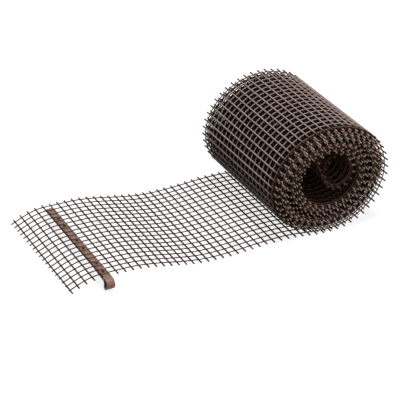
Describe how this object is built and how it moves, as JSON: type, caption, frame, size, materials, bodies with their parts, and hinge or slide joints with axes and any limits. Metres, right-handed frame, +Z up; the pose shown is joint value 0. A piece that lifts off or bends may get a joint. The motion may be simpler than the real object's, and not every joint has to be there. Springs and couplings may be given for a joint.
{
  "type": "gutter guard mesh roll",
  "caption": "Roll of square plastic gutter mesh on its side, its free end drawn out in a waved tail, with a pegged clip fitted under it whose hook snaps onto a gutter's front edge.",
  "frame": {"origin": "on the floor, under the middle of the whole object's box", "axes": "+X along the drawn-out tail from its free end to the roll, +Y along the roll's axis away from the clip's hook, +Z up"},
  "size_m": [0.3608, 0.174, 0.1263],
  "materials": {
    "net_plastic": "extruded polyethylene, dark brown, satin",
    "clip_plastic": "injection moulded polypropylene, brown, satin"
  },
  "bodies": {
    "root": {"mesh_roll": "net_plastic", "mesh_tail_end": "net_plastic", "mesh_tail_crest": "net_plastic", "mesh_tail_trough": "net_plastic", "mesh_tail_root": "net_plastic", "gutter_clip": "clip_plastic"}
  },
  "joints": []
}
